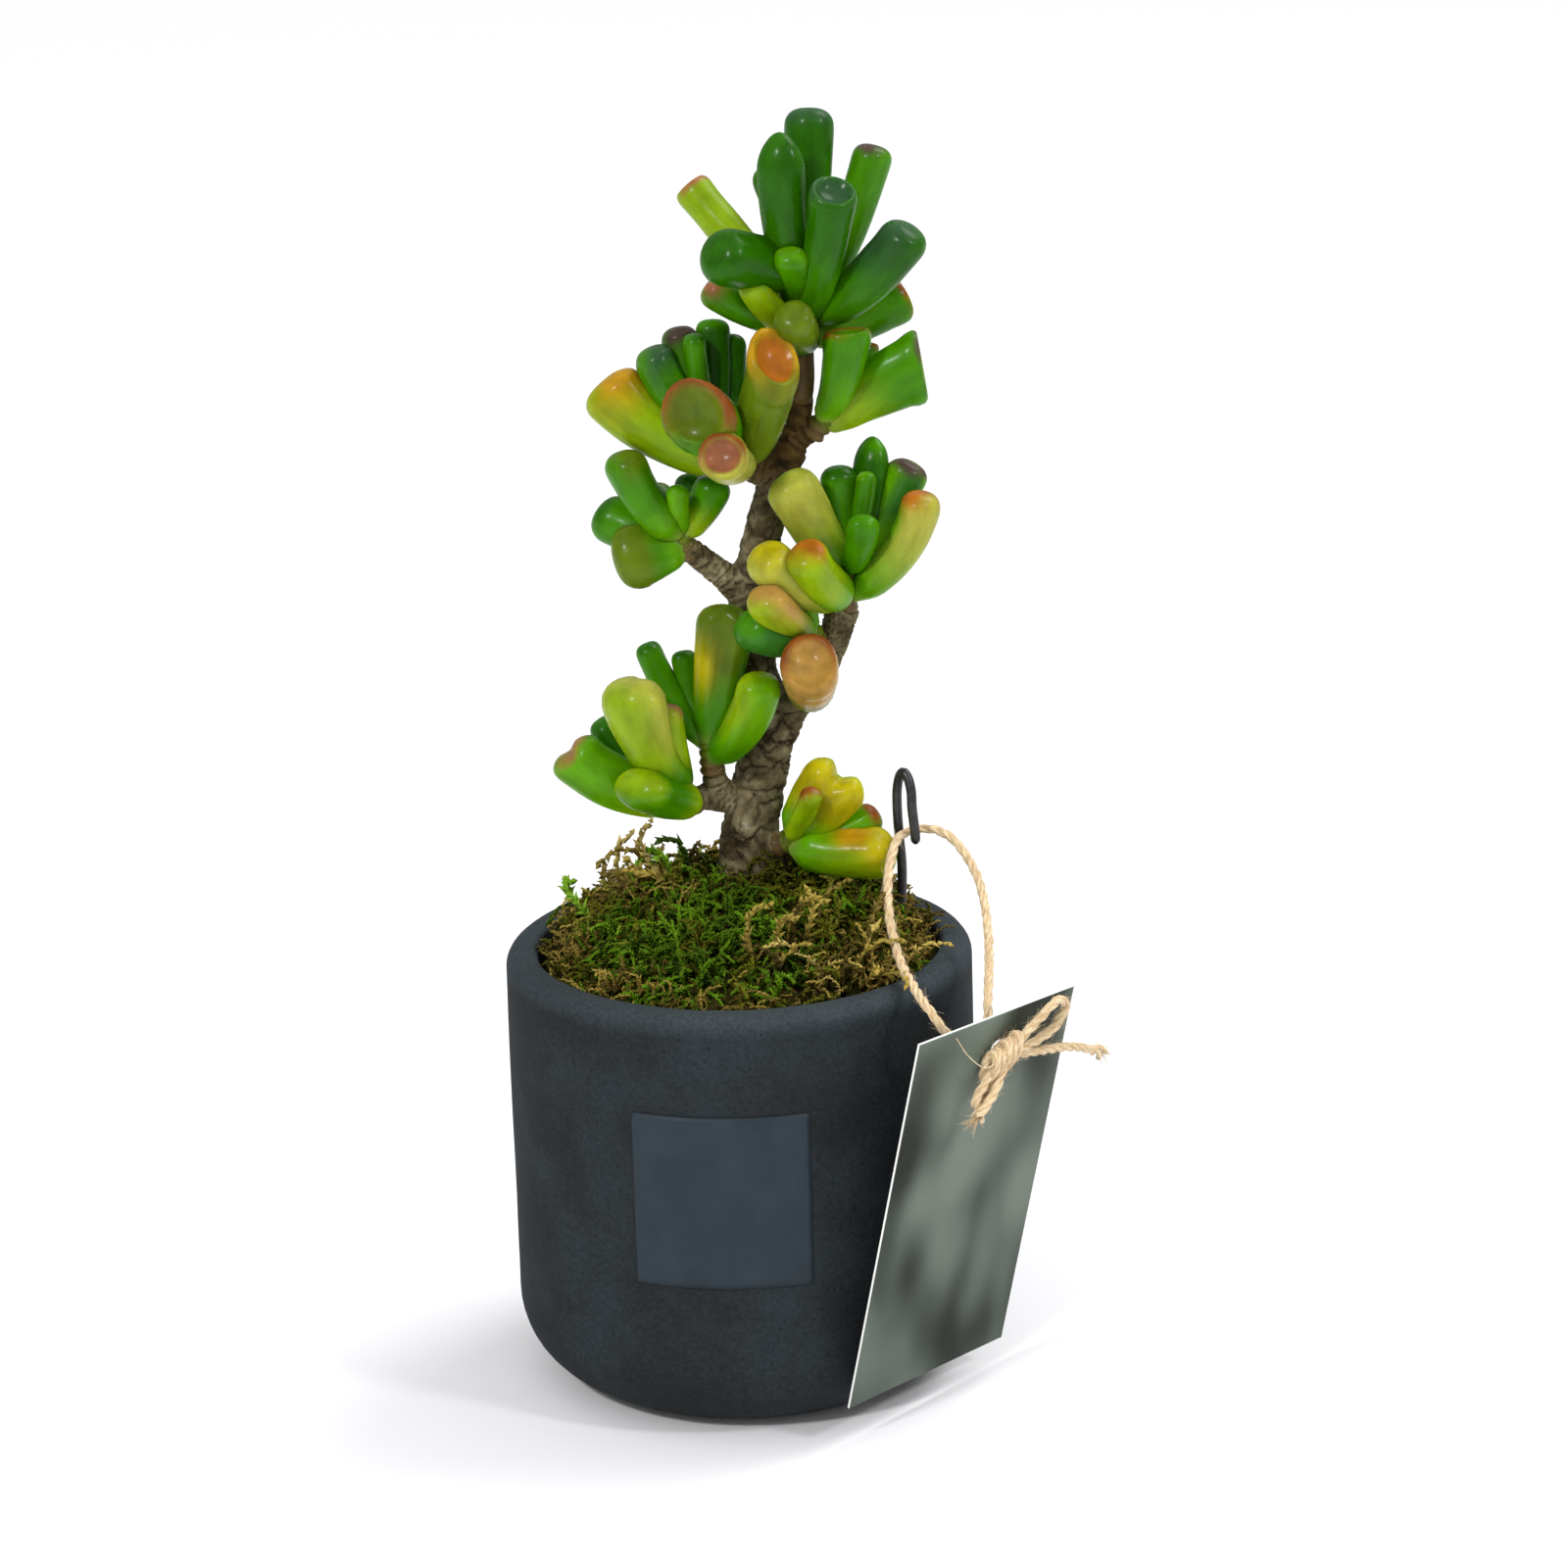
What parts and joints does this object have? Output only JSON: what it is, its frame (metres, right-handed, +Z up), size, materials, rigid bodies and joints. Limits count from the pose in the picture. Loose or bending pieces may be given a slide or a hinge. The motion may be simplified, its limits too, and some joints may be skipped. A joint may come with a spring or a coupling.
{
  "type": "potted jade bonsai",
  "caption": "Small jade bonsai with tubular leaves in a round concrete pot with moss, and a gift tag tied with jute twine to a wire hook.",
  "frame": {"origin": "centre of the pot's flat base", "axes": "+Z up along the pot's axis; the label faces -Y, and the tag hangs on the side of +X and -Y"},
  "size_m": [0.1321, 0.1149, 0.2824],
  "materials": {
    "concrete": "matte, finely pitted, dyed anthracite",
    "label_film": "satin film",
    "soil": "loose and crumbly",
    "moss": "soft tufts with dry tips",
    "bark": "rough, ringed and cracked",
    "leaf": "waxy gloss, reddened rims",
    "black_wire": "satin black",
    "jute": "twisted, hairy",
    "card": "satin print with a white cut edge"
  },
  "bodies": {
    "root": {"pot": "concrete", "pot_label": "label_film", "soil": "soil", "moss": "moss", "trunk": "bark", "shoot_crown": "leaf", "shoot_crown_right": "leaf", "shoot_upper_left": "leaf", "shoot_left": "leaf", "shoot_right": "leaf", "shoot_trunk_front": "leaf", "shoot_fork_front": "leaf", "shoot_lower_left_upright": "leaf", "shoot_lower_left": "leaf", "shoot_lower_right": "leaf", "wire_hook": "black_wire", "twine": "jute", "twine_bow": "jute", "tag_card": "card"}
  },
  "joints": []
}
